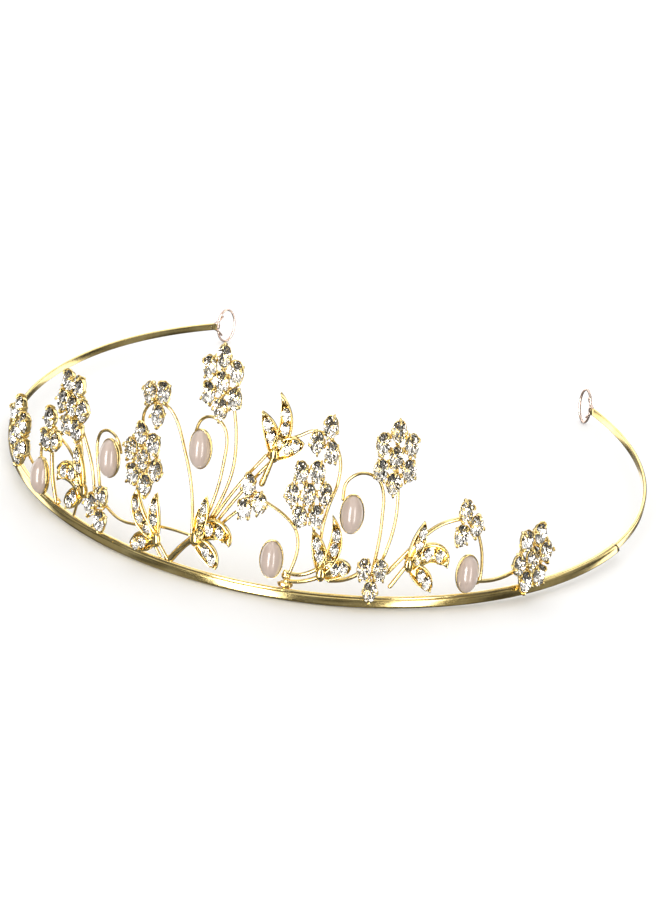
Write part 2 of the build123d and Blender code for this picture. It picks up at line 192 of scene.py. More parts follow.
def hook(centre, half_width, half_height, first, last):
    """Stops of an oval bend round a place, between two directions in degrees from +X."""
    stops = []
    for step in range(HOOK_STEPS + 1):
        turn = radians(first + (last - first) * step / HOOK_STEPS)
        stops.append((centre[0] + half_width * cos(turn), centre[1] + half_height * sin(turn)))
    return stops


def hook_and_stem(bend, end, across):
    """Stops of a wire that leaves a hook and runs on to its end."""
    return bend + stem(bend[-1], end, across=across)[1:]


flower_1, flower_2, flower_3, flower_4, flower_5, flower_6, flower_7 = FLOWERS
trefoil_1, trefoil_2, trefoil_3, trefoil_4, trefoil_5, trefoil_6, trefoil_7 = TREFOILS
pearl_1, pearl_2, pearl_3, pearl_4, pearl_5, pearl_6 = PEARLS
sprig_1, sprig_2, sprig_3, sprig_4, sprig_5, sprig_6 = SPRIGS

left_arch_bend = hook(near(trefoil_3, 0, -6), 3.4, 5, 180, 30)
right_arch_bend = hook(near(trefoil_5, -1.8, -7), 4.4, 8.2, 130, -20)
pearl_2_bend = hook(near(pearl_2, -1.2, 1.5), 2.7, 3.7, 180, 0)
pearl_3_bend = hook(near(pearl_3, 1.3, 3), 2.7, 4, 0, 180)
pearl_5_bend = hook(near(pearl_5, 1.5, 4), 3.3, 4.6, 200, 0)

# Scroll wires: each node holds a wire radius and one or more routes of (angle, height) stops
WIRES = {
    "pearl_1_foot": (THICK_WIRE, [
        stem(near(trefoil_1, -1.5, -6), (-35.5, RAIL_FOOT), across=-0.5),
    ]),
    "left_end_stems": (THIN_WIRE, [
        stem(near(flower_1, -2, -3), near(pearl_1, -2, -1), up=-0.8),
        stem(near(trefoil_1, -4, -4.5), near(pearl_1, -2, 2), across=-0.8),
        stem(near(trefoil_1, 1, -1), near(sprig_1, -2, 3), up=1.2),
    ]),
    "flower_2_stems": (THIN_WIRE, [
        stem(near(flower_2, 0, -4), near(sprig_1, -1.5, -1), across=0.8),
        stem(near(sprig_1, -1.5, -1), (-30, RAIL_FOOT)),
        stem(near(flower_2, 0.6, -4), near(trefoil_2, -2, 1.5), across=1),
    ]),
    "pearl_2_curl": (THIN_WIRE, [[near(trefoil_2, -0.5, 1.5), *pearl_2_bend]]),
    "left_link": (THIN_WIRE, [
        stem(near(trefoil_2, 0, 1), near(sprig_2, -5, 1), up=-1.2)
        + stem(near(sprig_2, -5, 1), near(sprig_3, -1.2, 0), up=0.8)[1:],
    ]),
    "sprig_2_struts": (THIN_WIRE, [
        stem(near(sprig_2, -0.4, 0), (-9, RAIL_FOOT)),
        stem(near(sprig_2, -1.3, -0.6), (-10.4, RAIL_FOOT)),
    ]),
    "sprig_3_stalk": (STALK_WIRE, [stem((-8.6, RAIL_FOOT), near(sprig_3, -0.8, -0.8), up=0.4)]),
    "left_arch": (THIN_WIRE, [
        [near(flower_3, -0.5, 3.5), *hook_and_stem(left_arch_bend, near(sprig_3, -0.9, 0.2), 1.2)],
    ]),
    "pearl_3_curl": (THIN_WIRE, [
        stem(near(sprig_3, 0.6, 1.8), pearl_3_bend[0], across=0.8) + pearl_3_bend[1:],
    ]),
    "flower_4_stem": (THIN_WIRE, [stem(near(sprig_3, 1, 2), near(flower_4, 1.5, -3.5), across=2.6)]),
    "fan_stems": (THIN_WIRE, [
        stem(near(sprig_3, 1.6, 2), near(sprig_4, -1.4, -0.8), across=-0.6),
        stem(near(sprig_3, 2.2, 2), near(sprig_4, -0.6, -2), across=-0.4),
        stem(near(sprig_3, 2.8, 2), near(trefoil_4, -0.6, -2), up=0.6),
    ]),
    "trefoil_4_arch": (THIN_WIRE, [
        stem(near(trefoil_4, 0.5, 0), near(pearl_4, 3, -3), across=3.6, up=2),
    ]),
    "trefoil_5_arch": (THIN_WIRE, [
        [near(sprig_4, 0.6, 3), *hook_and_stem(right_arch_bend, near(sprig_5, -0.4, 1.8), -0.8)],
        stem(near(flower_5, 0.2, -4), near(sprig_5, -1.4, 3), across=0.5),
    ]),
    "sprig_5_bridges": (THICK_WIRE, [
        stem(near(pearl_4, 2.2, -3), near(sprig_5, -0.8, 0.4), up=-1),
        stem(near(pearl_4, 2.4, -5), near(sprig_5, -0.2, -1.2), up=-0.6),
        stem(near(sprig_5, 1.4, -1.8), near(trefoil_6, -1.2, 0.4), up=-0.8),
    ]),
    "pearl_5_curl": (THIN_WIRE, [hook_and_stem(pearl_5_bend, near(trefoil_6, 0.2, 0.4), 0.4)]),
    "flower_6_stem": (THIN_WIRE, [
        stem(near(flower_6, 0.5, -3), near(trefoil_6, 1, 0.4), across=1.4),
    ]),
    "sprig_6_links": (THICK_WIRE, [
        stem(near(trefoil_6, 2.7, 0.2), near(sprig_6, 0, 2.8)),
        stem(near(trefoil_6, 3.4, -2.9), near(sprig_6, 0.2, 0.2)),
        stem(near(sprig_6, 0.2, 3.2), near(trefoil_7, -1, 0.4), up=1.6),
    ]),
    "pearl_6_stem": (THIN_WIRE, [stem(near(trefoil_7, 1.4, 0), near(pearl_6, 3, -2.5), across=0.9)]),
    "flower_7_stem": (THICK_WIRE, [
        stem(near(pearl_6, 1.8, -2.6), near(flower_7, -0.4, -2.2), up=-1.2),
    ]),
}

# Solder lumps behind the joints: (angle, height), half width and half height
SOLDER_SPOTS = [
    ((-35.5, RAIL_FOOT), 1.0, 0.7),
    (near(pearl_1, -2, 0), 0.8, 0.8),
    (near(trefoil_2, 0, 0), 0.7, 0.8),
    ((-9, RAIL_FOOT), 1.0, 0.6),
    (near(sprig_3, -0.4, 0), 0.8, 0.9),
    (near(sprig_3, 1.4, 2.4), 0.8, 1.3),
    (near(trefoil_4, 0, 0), 0.7, 0.8),
    (near(sprig_4, -0.8, -0.8), 0.7, 0.9),
    (near(pearl_4, 2.4, -6), 1.5, 0.8),
    (near(pearl_4, 2.4, -4), 0.9, 1.0),
    (near(sprig_5, 0, 0), 0.8, 0.8),
    (near(trefoil_6, 0.4, 0), 0.8, 0.9),
    (near(sprig_6, -0.4, 1.4), 0.7, 0.8),
    (near(pearl_6, 2.4, -2.8), 0.9, 0.9),
]

# ---- Placing -----------------------------------------------------------------------------

STANCE = (
    Matrix.Translation(STANCE_SHIFT * 0.001)
    @ Matrix.Rotation(radians(STANCE_TILT), 4, "X")
    @ Matrix.Scale(0.001, 4)
)


def band_frame(angle, height=0.0, out=0.0):
    """Matrix from local millimetres (along the band, up, outward) to plan millimetres."""
    turn = radians(angle)
    reach = BAND_FRONT_REACH if cos(turn) > 0 else BAND_REAR_REACH
    tangent = Vector((BAND_HALF_WIDTH * cos(turn), reach * sin(turn), 0)).normalized()
    up = Vector((0, 0, 1))
    outward = tangent.cross(up)
    foot = Vector((BAND_HALF_WIDTH * sin(turn), -reach * cos(turn), height)) + outward * out
    matrix = Matrix((tangent, up, outward)).transposed().to_4x4()
    matrix.translation = foot
    return matrix


def noise_at(point, scale, seed=0.0):
    """Smooth noise from -1 to 1."""
    return noise.noise(Vector(point) * scale + Vector((seed, seed * 1.7, seed * 0.3)))


# Millimetres along the front of the plan for one degree of angle, near enough to fair a wire
MM_PER_DEGREE = 1.18


# ---- Mesh building -----------------------------------------------------------------------


class Shape:
    """Vertices and faces of one piece, in plan millimetres."""

    def __init__(self):
        self.points = []
        self.faces = []
        self.smooth = []
        self.slots = []

    def add(self, points, faces, matrix=None, smooth=True, slot=0):
        base = len(self.points)
        for point in points:
            point = Vector(point)
            self.points.append(matrix @ point if matrix else point)
        for face in faces:
            self.faces.append([base + index for index in face])
            self.smooth.append(smooth)
            self.slots.append(slot)

    def make(self, name, materials, nodes):
        mesh = bpy.data.meshes.new(name)
        mesh.from_pydata([STANCE @ point for point in self.points], [], self.faces)
        mesh.polygons.foreach_set("use_smooth", self.smooth)
        mesh.polygons.foreach_set("material_index", self.slots)
        for material in materials:
            mesh.materials.append(material)
        mesh.validate()
        piece = bpy.data.objects.new(name, mesh)
        bpy.context.scene.collection.objects.link(piece)
        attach(piece, BODY)
        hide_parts(*nodes)
        return piece


def ring_faces(rings, sides, closed_ends=True):
    """Quads between rings of equal size, with end caps."""
    faces = []
    for ring in range(rings - 1):
        for side in range(sides):
            after = (side + 1) % sides
            low = ring * sides
            high = low + sides
            faces.append([low + side, low + after, high + after, high + side])
    if closed_ends:
        faces.append(list(range(sides - 1, -1, -1)))
        faces.append(list(range((rings - 1) * sides, rings * sides)))
    return faces


def add_tube(shape, path, radius, sides=12, flat=1.0, matrix=None, slot=0, side_hint=None):
    """Round-ended tube along a path; radius is a number or one for each point."""
    count = len(path)
    radii = radius if isinstance(radius, list) else [radius] * count
    tangents = [(path[min(i + 1, count - 1)] - path[max(i - 1, 0)]).normalized() for i in range(count)]
    side = side_hint or Vector((0, 0, 1))
    if abs(side.dot(tangents[0])) > 0.95:
        side = Vector((1, 0, 0))
    points = []
    cap_steps = 3
    rings = 0
    for i, (centre, tangent) in enumerate(zip(path, tangents)):
        side = (side - tangent * side.dot(tangent)).normalized()
        other = tangent.cross(side)
        stations = [(0.0, 1.0)]
        if i == 0:
            stations = [
                (-cos(pi / 2 * step / cap_steps), sin(pi / 2 * step / cap_steps) or 0.02)
                for step in range(cap_steps)
            ] + stations
        if i == count - 1:
            stations = stations + [
                (sin(pi / 2 * step / cap_steps), cos(pi / 2 * step / cap_steps) if step < cap_steps else 0.02)
                for step in range(1, cap_steps + 1)
            ]
        for along, share in stations:
            for number in range(sides):
                turn = 2 * pi * number / sides
                points.append(
                    centre
                    + tangent * along * radii[i]
                    + side * cos(turn) * radii[i] * share
                    + other * sin(turn) * radii[i] * share * flat
                )
            rings += 1
    shape.add(points, ring_faces(rings, sides), matrix, True, slot)


def add_lathe(shape, profile, sides, matrix, slot=0, wave=None, smooth=True):
    """Closed turned shape from (radius, height) rings, the first and last at the axis.

    wave gives an extra height for a ring at a turn.
    """
    points = []
    for ring, (radius, height) in enumerate(profile):
        for number in range(sides):
            turn = 2 * pi * number / sides
            lift = wave(ring, turn) if wave else 0.0
            points.append((radius * cos(turn), radius * sin(turn), height + lift))
    shape.add(points, ring_faces(len(profile), sides), matrix, smooth, slot)


def add_lump(shape, centre_matrix, half_sizes, rough, seed, rings=8, sides=14):
    """Rounded lump with an uneven surface."""
    points = []
    for ring in range(rings + 1):
        polar = pi * (ring + 0.5) / (rings + 1)
        for number in range(sides):
            turn = 2 * pi * number / sides
            direction = Vector((sin(polar) * cos(turn), sin(polar) * sin(turn), cos(polar)))
            swell = 1 + rough * noise_at(direction, 2.1, seed)
            swell += 0.5 * rough * noise_at(direction, 5.3, seed)
            points.append([direction[axis] * half_sizes[axis] * swell for axis in range(3)])
    shape.add(points, ring_faces(rings + 1, sides), centre_matrix)


def smooth_route(stops, out, step=0.35):
    """Points of a smooth wire through (angle, height) stops, at a distance outside the plan."""
    degree = MM_PER_DEGREE
    flat = [Vector((angle * degree, height)) for angle, height in stops]
    flat = [flat[0] * 2 - flat[1]] + flat + [flat[-1] * 2 - flat[-2]]
    dense = []
    for p0, p1, p2, p3 in zip(flat, flat[1:], flat[2:], flat[3:]):
        d1 = max((p1 - p0).length, 1e-3) ** 0.5
        d2 = max((p2 - p1).length, 1e-3) ** 0.5
        d3 = max((p3 - p2).length, 1e-3) ** 0.5
        m1 = (p2 - p1) + d2 * ((p1 - p0) / d1 - (p2 - p0) / (d1 + d2))
        m2 = (p2 - p1) + d2 * ((p3 - p2) / d3 - (p3 - p1) / (d2 + d3))
        count = max(2, int((p2 - p1).length / step))
        for number in range(count):
            t = number / count
            dense.append(
                p1 * (2 * t**3 - 3 * t**2 + 1)
                + m1 * (t**3 - 2 * t**2 + t)
                + p2 * (3 * t**2 - 2 * t**3)
                + m2 * (t**3 - t**2)
            )
    dense.append(flat[-2])
    for _ in range(12):
        dense = [dense[0]] + [
            (before + here * 2 + after) / 4 for before, here, after in zip(dense, dense[1:], dense[2:])
        ] + [dense[-1]]
    return [band_frame(point.x / degree, point.y, out).translation for point in dense]


# ---- Materials ---------------------------------------------------------------------------


def new_material(name):
    material = bpy.data.materials.new(name)
    material.use_nodes = True
    tree = material.node_tree
    return material, tree, tree.nodes["Principled BSDF"]


def noise_node(tree, scale, detail=3.0, roughness=0.55):
    where = tree.nodes.new("ShaderNodeTexCoord")
    pattern = tree.nodes.new("ShaderNodeTexNoise")
    pattern.inputs["Scale"].default_value = scale
    pattern.inputs["Detail"].default_value = detail
    pattern.inputs["Roughness"].default_value = roughness
    tree.links.new(where.outputs["Object"], pattern.inputs["Vector"])
    return pattern


def ramp_node(tree, source, stops):
    ramp = tree.nodes.new("ShaderNodeValToRGB")
    elements = ramp.color_ramp.elements
    while len(elements) < len(stops):
        elements.new(0.5)
    for element, (position, colour) in zip(elements, stops):
        element.position = position
        element.color = (*colour, 1.0) if len(colour) == 3 else colour
    tree.links.new(source, ramp.inputs["Fac"])
    return ramp


def range_node(tree, source, low, high):
    spread = tree.nodes.new("ShaderNodeMapRange")
    spread.inputs["To Min"].default_value = low
    spread.inputs["To Max"].default_value = high
    tree.links.new(source, spread.inputs["Value"])
    return spread


def bump_node(tree, shader, source, strength, distance):
    bump = tree.nodes.new("ShaderNodeBump")
    bump.inputs["Strength"].default_value = strength
    bump.inputs["Distance"].default_value = distance
    tree.links.new(source, bump.inputs["Height"])
    tree.links.new(bump.outputs["Normal"], shader.inputs["Normal"])


def gilded(name, deep, bright, roughness, grain, bump_strength):
    """Gilded metal: colour drifts between two tones, with fine polishing marks."""
    material, tree, shader = new_material(name)
    shader.inputs["Metallic"].default_value = 1.0
    drift = noise_node(tree, 260.0, 4.0)
    ramp = ramp_node(tree, drift.outputs["Fac"], [(0.3, deep), (0.72, bright)])
    tree.links.new(ramp.outputs["Color"], shader.inputs["Base Color"])
    fine = noise_node(tree, grain, 5.0, 0.6)
    spread = range_node(tree, fine.outputs["Fac"], roughness[0], roughness[1])
    tree.links.new(spread.outputs["Result"], shader.inputs["Roughness"])
    bump_node(tree, shader, fine.outputs["Fac"], bump_strength, 0.00005)
    return material


def clear_crystal():
    """Cut glass crown."""
    material, tree, shader = new_material("clear_crystal")
    shader.inputs["Base Color"].default_value = (1.0, 1.0, 1.0, 1.0)
    shader.inputs["Transmission Weight"].default_value = 1.0
    shader.inputs["IOR"].default_value = 1.58
    haze = noise_node(tree, 900.0, 2.0)
    spread = range_node(tree, haze.outputs["Fac"], 0.0, 0.025)
    tree.links.new(spread.outputs["Result"], shader.inputs["Roughness"])
    return material


def crystal_foil():
    """Silvered back of a stone."""
    material, tree, shader = new_material("crystal_foil")
    shader.inputs["Metallic"].default_value = 1.0
    shader.inputs["Roughness"].default_value = 0.04
    tone = noise_node(tree, 420.0, 2.0)
    tones = [(0.35, (0.93, 0.90, 0.84)), (0.65, (0.99, 0.975, 0.94))]
    ramp = ramp_node(tree, tone.outputs["Fac"], tones)
    tree.links.new(ramp.outputs["Color"], shader.inputs["Base Color"])
    return material


def pearl_lustre():
    """Imitation pearl: a soft pink body under a clear lacquer, with painted shade darkening the body towards
    its rim.
    """
    material, tree, shader = new_material("pearl_lustre")
    cloud = noise_node(tree, 330.0, 3.0)
    tones = [(0.3, (0.50, 0.385, 0.32)), (0.7, (0.56, 0.445, 0.375))]
    body = ramp_node(tree, cloud.outputs["Fac"], tones)
    # Painted shade: the glow mix darkens the body colour where the surface turns away from the camera, so the
    # rim looks shaded.
    facing = tree.nodes.new("ShaderNodeLayerWeight")
    facing.inputs["Blend"].default_value = 0.35
    glow = tree.nodes.new("ShaderNodeMix")
    glow.data_type = "RGBA"
    tree.links.new(facing.outputs["Facing"], glow.inputs["Factor"])
    tree.links.new(body.outputs["Color"], glow.inputs["A"])
    glow.inputs["B"].default_value = (0.42, 0.34, 0.30, 1.0)
    tree.links.new(glow.outputs["Result"], shader.inputs["Base Color"])
    shader.inputs["Roughness"].default_value = 0.32
    shader.inputs["IOR"].default_value = 1.5
    shader.inputs["Coat Weight"].default_value = 0.9
    shader.inputs["Coat Roughness"].default_value = 0.2
    shader.inputs["Coat IOR"].default_value = 1.8
    shader.inputs["Sheen Weight"].default_value = 0.25
    fine = noise_node(tree, 1500.0, 2.0)
    bump_node(tree, shader, fine.outputs["Fac"], 0.04, 0.00005)
    return material


GOLD_DEEP = (0.72, 0.54, 0.20)
GOLD_BRIGHT = (0.92, 0.77, 0.38)
band_gold = gilded("band_gold", GOLD_DEEP, (0.91, 0.75, 0.35), (0.10, 0.24), 1400.0, 0.12)
setting_gold = gilded("setting_gold", (0.80, 0.59, 0.22), GOLD_BRIGHT, (0.08, 0.2), 1700.0, 0.2)
wire_gold = gilded("wire_gold", (0.72, 0.54, 0.22), (0.88, 0.72, 0.36), (0.08, 0.2), 1500.0, 0.12)
rose_gold = gilded("rose_gold", (0.84, 0.62, 0.50), (0.93, 0.78, 0.70), (0.16, 0.3), 1500.0, 0.15)
solder_gold = gilded("solder_gold", (0.80, 0.50, 0.16), (0.96, 0.74, 0.34), (0.14, 0.38), 900.0, 0.7)
tip_gold = gilded("tip_gold", (0.80, 0.58, 0.20), (0.97, 0.80, 0.38), (0.12, 0.28), 1100.0, 0.9)
crystal = clear_crystal()
foil = crystal_foil()
pearl_skin = pearl_lustre()

# ---- Headband ----------------------------------------------------------------------------


def sweep_band(shape, profile, end_angle, count, slant=0.0):
    """Sweep a closed (out, height) profile round the plan; slant shears the ends, in degrees."""
    points = []
    for step in range(count + 1):
        share = step / count
        for out, height in profile:
            shear = slant * (height / SLEEVE_HEIGHT - 0.5) * (2 * share - 1) ** 15
            angle = -end_angle + 2 * end_angle * share - shear
            points.append(band_frame(angle, height, out).translation)
    shape.add(points, ring_faces(count + 1, len(profile)))


def rounded_profile(inner, outer, low, high, radii, steps=5):
    """Rectangle with a radius at each corner: inner low, outer low, outer high, inner high."""
    corners = [(inner, low, 1, 1), (outer, low, -1, 1), (outer, high, -1, -1), (inner, high, 1, -1)]
    starts = [pi, 1.5 * pi, 0.0, 0.5 * pi]
    profile = []
    for (x, y, sx, sy), radius, start in zip(corners, radii, starts):
        for step in range(steps + 1):
            turn = start + pi / 2 * step / steps
            profile.append((x + sx * radius + radius * cos(turn), y + sy * radius + radius * sin(turn)))
    return profile


core = Shape()
sweep_band(
    core,
    rounded_profile(
        CORE_INNER, CORE_OUTER, CORE_LIFT, CORE_LIFT + CORE_HEIGHT, [0.24, 0.3, 0.3, 0.24]
    ),
    ARM_END_ANGLE,
    220,
)
core.make("headband_strip", [band_gold], ["headband_core"])

sleeve = Shape()
half_round = rounded_profile(
    CORE_INNER, SLEEVE_OUTER, 0.0, SLEEVE_HEIGHT, [0.15, 0.75, 0.75, 0.15], 8
)
top = CORE_LIFT + CORE_HEIGHT + 0.01
slot_outer = CORE_OUTER + 0.01
slot_low = CORE_LIFT - 0.01
slot_corners = [(CORE_INNER, top), (slot_outer, top), (slot_outer, slot_low), (CORE_INNER, slot_low)]
sweep_band(sleeve, half_round + slot_corners, SLEEVE_END_ANGLE - 0.7, 160, 1.4)
sleeve.make("half_round_sleeve", [band_gold], ["front_sleeve"])

rail = Shape()
rail_path = []
rail_radii = []
RAIL_STEPS = 150
for step in range(RAIL_STEPS + 1):
    angle = RAIL_ANGLES[0] + (RAIL_ANGLES[1] - RAIL_ANGLES[0]) * step / RAIL_STEPS
    rail_path.append(band_frame(angle, RAIL_HEIGHT, RAIL_OUT).translation)
    rail_radii.append(RAIL_RADIUS * (0.97 + 0.06 * noise_at((angle, 0, 0), 0.6, 4.0)))
add_tube(rail, rail_path, rail_radii, 12)
rail.make("rail_wire", [wire_gold], ["base_rail"])

mid_height = CORE_LIFT + CORE_HEIGHT / 2
mid_out = (CORE_INNER + CORE_OUTER) / 2
for side, side_name in ((-1, "left"), (1, "right")):
    arm_end = band_frame(side * ARM_END_ANGLE, mid_height, mid_out)
    reach = side * (LOOP_HALF_WIDTH + LOOP_WIRE_RADIUS)
    loop = Shape()
    path = []
    LOOP_STEPS = 56
    for step in range(LOOP_STEPS + 1):
        turn = 2 * pi * step / LOOP_STEPS
        path.append(
            Vector((reach - side * LOOP_HALF_WIDTH * cos(turn), LOOP_HALF_HEIGHT * sin(turn), 0))
        )
    add_tube(loop, path, LOOP_WIRE_RADIUS * 0.94, 12, 0.8, arm_end)
    for way in (-1, 1):
        fork = []
        for step in range(9):
            share = step / 8
            fork.append(Vector((
                side * (-1.5 + 2.9 * share),
                way * (0.28 + 2.1 * share ** 1.8),
                0,
            )))
        add_tube(loop, fork, [0.42 - 0.12 * step / 8 for step in range(9)], 10, 0.85, arm_end)
    add_lump(loop, arm_end @ Matrix.Translation((side * 0.35, 0, 0)), (0.55, 0.95, 0.42), 0.08, 3.0 + side)
    loop.make(f"grip_loop_{side_name}", [rose_gold], [f"end_loop_{side_name}"])

# ---- Stones ------------------------------------------------------------------------------


def add_stone(shape, half_height, matrix, turn=0.0):
    """Oval brilliant: glass crown on a silvered pavilion, girdle on the local XY plane."""
    def ring(count, radius, height, offset):
        return [
            Vector((
                radius * half_height * cos(2 * pi * (k + offset) / count + turn),
                radius * half_height * sin(2 * pi * (k + offset) / count + turn),
                height * half_height,
            ))
            for k in range(count)
        ]

    table = ring(8, 0.52, 0.33, 0.0)
    star = ring(8, 0.78, 0.22, 0.5)
    girdle_top = ring(16, 1.0, 0.02, 0.0)
    girdle_low = ring(16, 1.0, -0.05, 0.0)
    low = ring(8, 0.36, -0.38, 0.5)
    points = table + star + girdle_top + girdle_low + low + [Vector((0, 0, -0.5 * half_height))]
    star_at, top_at, under_at, low_at, culet = 8, 16, 32, 48, 56
    crown = [list(range(8))]
    pavilion = []
    for k in range(8):
        after = (k + 1) % 8
        before = (k - 1) % 8
        a, b, c = 2 * k, 2 * k + 1, (2 * k + 2) % 16
        crown.append([k, star_at + k, after])
        crown.append([k, star_at + before, top_at + a, star_at + k])
        crown.append([star_at + k, top_at + a, top_at + b])
        crown.append([star_at + k, top_at + b, top_at + c])
        crown.append([top_at + a, under_at + a, under_at + b, top_at + b])
        crown.append([top_at + b, under_at + b, under_at + c, top_at + c])
        pavilion.append([low_at + k, under_at + b, under_at + a])
        pavilion.append([low_at + k, under_at + c, under_at + b])
        pavilion.append([culet, low_at + k, under_at + a, low_at + before])
    base = len(shape.points)
    shape.add(points, crown, matrix, False, 0)
    for face in pavilion:
        shape.faces.append([base + index for index in face])
        shape.smooth.append(False)
        shape.slots.append(1)


def cluster_spots(turn, count):
    """(x, y, direction outward) of each cup of a cluster; a flower has one in the middle too."""
    spread = CUP_SPACING if count == 6 else CUP_SPACING / (2 * sin(radians(180 / count)))
    spots = []
    for step in range(count):
        angle = radians(turn + 360 / count * step)
        spots.append((SQUEEZE * spread * cos(angle), spread * sin(angle), angle))
    if count == 6:
        spots.append((0.0, 0.0, radians(turn + 15)))
    return spots


# ---- Claw cups ---------------------------------------------------------------------------

CUP_SIDES = 24
CUP_PROFILE = [
    (0.02, 0.05), (0.9, 0.05), (1.25, 0.0), (1.7, 0.02), (2.0, 0.3), (2.28, 0.75), (2.5, 1.12),
    (2.56, 1.24), (2.42, 1.28), (2.15, 0.95), (1.6, 0.5), (0.02, 0.4),
]
RIM_RINGS = (6, 7, 8)
CLAW_PATH = [(2.0, 0.3), (2.34, 0.8), (2.56, 1.3), (2.58, 1.74), (2.36, 2.08), (1.94, 2.2)]
CLAW_RADII = [0.32, 0.37, 0.4, 0.4, 0.36, 0.24]


def add_cup(shape, matrix, phase):
    """Scalloped cup with four claws bent over the stone."""
    def scallop(ring, turn):
        return 0.16 * cos(4 * (turn - phase)) if ring in RIM_RINGS else 0.0

    add_lathe(shape, CUP_PROFILE, CUP_SIDES, matrix, 0, scallop)
    for claw in range(4):
        turn = phase + pi / 2 * claw
        path = [Vector((r * cos(turn), r * sin(turn), z)) for r, z in CLAW_PATH]
        dense = []
        for first, second in zip(path, path[1:]):
            dense += [first, (first + second) / 2]
        dense.append(path[-1])
        radii = []
        for first, second in zip(CLAW_RADII, CLAW_RADII[1:]):
            radii += [first, (first + second) / 2]
        radii.append(CLAW_RADII[-1])
        add_tube(shape, dense, radii, 8, 1.0, matrix, 0, Vector((-sin(turn), cos(turn), 0)))


squeeze = Matrix.Diagonal((SQUEEZE, 1.0, 1.0, 1.0))
for kind, places, petals in (("flower", FLOWERS, 6), ("trefoil", TREFOILS, 3)):
    stones = Shape()
    for number, (angle, height, turn) in enumerate(places, start=1):
        local = band_frame(angle, height, ORNAMENT_BACK)
        setting = Shape()
        spots = cluster_spots(turn, petals)
        for index, (x, y, direction) in enumerate(spots):
            at = local @ Matrix.Translation((x, y, 0)) @ squeeze
            add_cup(setting, at, direction)
            add_stone(
                stones, CLUSTER_STONE, at @ Matrix.Translation((0, 0, CLUSTER_STONE_SEAT)),
                0.37 * index + number,
            )
        for index, (x, y, _) in enumerate(spots[:petals]):
            near_x, near_y, _ = spots[(index + 1) % petals]
            joint = Matrix.Translation(((x + near_x) / 2, (y + near_y) / 2, 0.55))
            add_lump(setting, local @ joint, (0.45, 0.55, 0.5), 0.2, index + number * 3.1, 6, 10)
            joint = Matrix.Translation((x * 0.5, y * 0.5, 0.5))
            add_lump(setting, local @ joint, (0.45, 0.6, 0.45), 0.2, index + number * 5.7, 6, 10)
        setting.make(
            f"{kind}_{number}_claws", [setting_gold], [f"{kind}_{number}_setting"]
        )
    stones.make(f"{kind}_crystals", [crystal, foil], [f"{kind}_stones"])

# ---- Leaf sprigs -------------------------------------------------------------------------


def arc_through(start, middle, end):
    """Function from 0..1 to points of the circle arc through three points."""
    (ax, ay), (bx, by), (cx, cy) = start, middle, end
    d = 2 * (ax * (by - cy) + bx * (cy - ay) + cx * (ay - by))
    if abs(d) < 1e-6:
        return lambda t: Vector((ax + (cx - ax) * t, ay + (cy - ay) * t))
    ux = ((ax**2 + ay**2) * (by - cy) + (bx**2 + by**2) * (cy - ay) + (cx**2 + cy**2) * (ay - by)) / d
    uy = ((ax**2 + ay**2) * (cx - bx) + (bx**2 + by**2) * (ax - cx) + (cx**2 + cy**2) * (bx - ax)) / d
    radius = hypot(ax - ux, ay - uy)
    first = atan2(ay - uy, ax - ux)
    turn_mid = (atan2(by - uy, bx - ux) - first) % (2 * pi)
    turn_end = (atan2(cy - uy, cx - ux) - first) % (2 * pi)
    if turn_mid > turn_end:
        turn_end -= 2 * pi


    def point(share):
        turn = first + turn_end * share
        return Vector((ux + radius * cos(turn), uy + radius * sin(turn)))

    return point


def beside(spot, start, end, distance):
    """Point to the left of a spot, looking from start to end, in the squeezed drawing."""
    along = Vector(((end[0] - start[0]) / SQUEEZE, end[1] - start[1])).normalized()
    return (spot[0] - SQUEEZE * distance * along.y, spot[1] + distance * along.x)


def lobe_marks(turn, hand, lobe):
    """Foot, middle and tip of a lobe in the squeezed drawing."""
    offset, length, bow, _, _ = lobe
    direction = radians(turn + hand * offset)
    marks = []
    for along, aside in ((LOBE_START, 0.0), ((LOBE_START + length) / 2, hand * bow), (length, 0.0)):
        across = along * cos(direction) - aside * sin(direction)
        up = along * sin(direction) + aside * cos(direction)
        marks.append((SQUEEZE * across, up))
    return marks


LOBE_LENGTH_STEPS = 44
LOBE_WIDTH_STEPS = 16
# Raised rim of a lobe, in shares of its half width, and the heights inside and outside it
RIM_MIDDLE = 0.87
RIM_HALF_WIDTH = 0.135
LOBE_FLOOR = 0.28
LOBE_EDGE = 0.55


def lobe_height(along, across, stones_end, seed):
    """Top of a lobe: a floor between raised rims, and a grained, crowned tip."""
    edge = abs(across)
    rim = max(0.0, 1 - ((edge - RIM_MIDDLE) / RIM_HALF_WIDTH) ** 2) ** 0.5
    floor = LOBE_FLOOR if edge < RIM_MIDDLE else LOBE_EDGE
    top = floor + rim * (SPRIG_THICKNESS - floor)
    crown = 0.45 + 0.75 * max(0.0, 1 - edge**2) ** 0.5
    crown += 0.11 * noise_at((along * 26, across * 5, 0), 1.0, seed) * (1 - edge**2)
    blend = min(1.0, max(0.0, (along - stones_end) / 0.08))
    return top * (1 - blend) + crown * blend


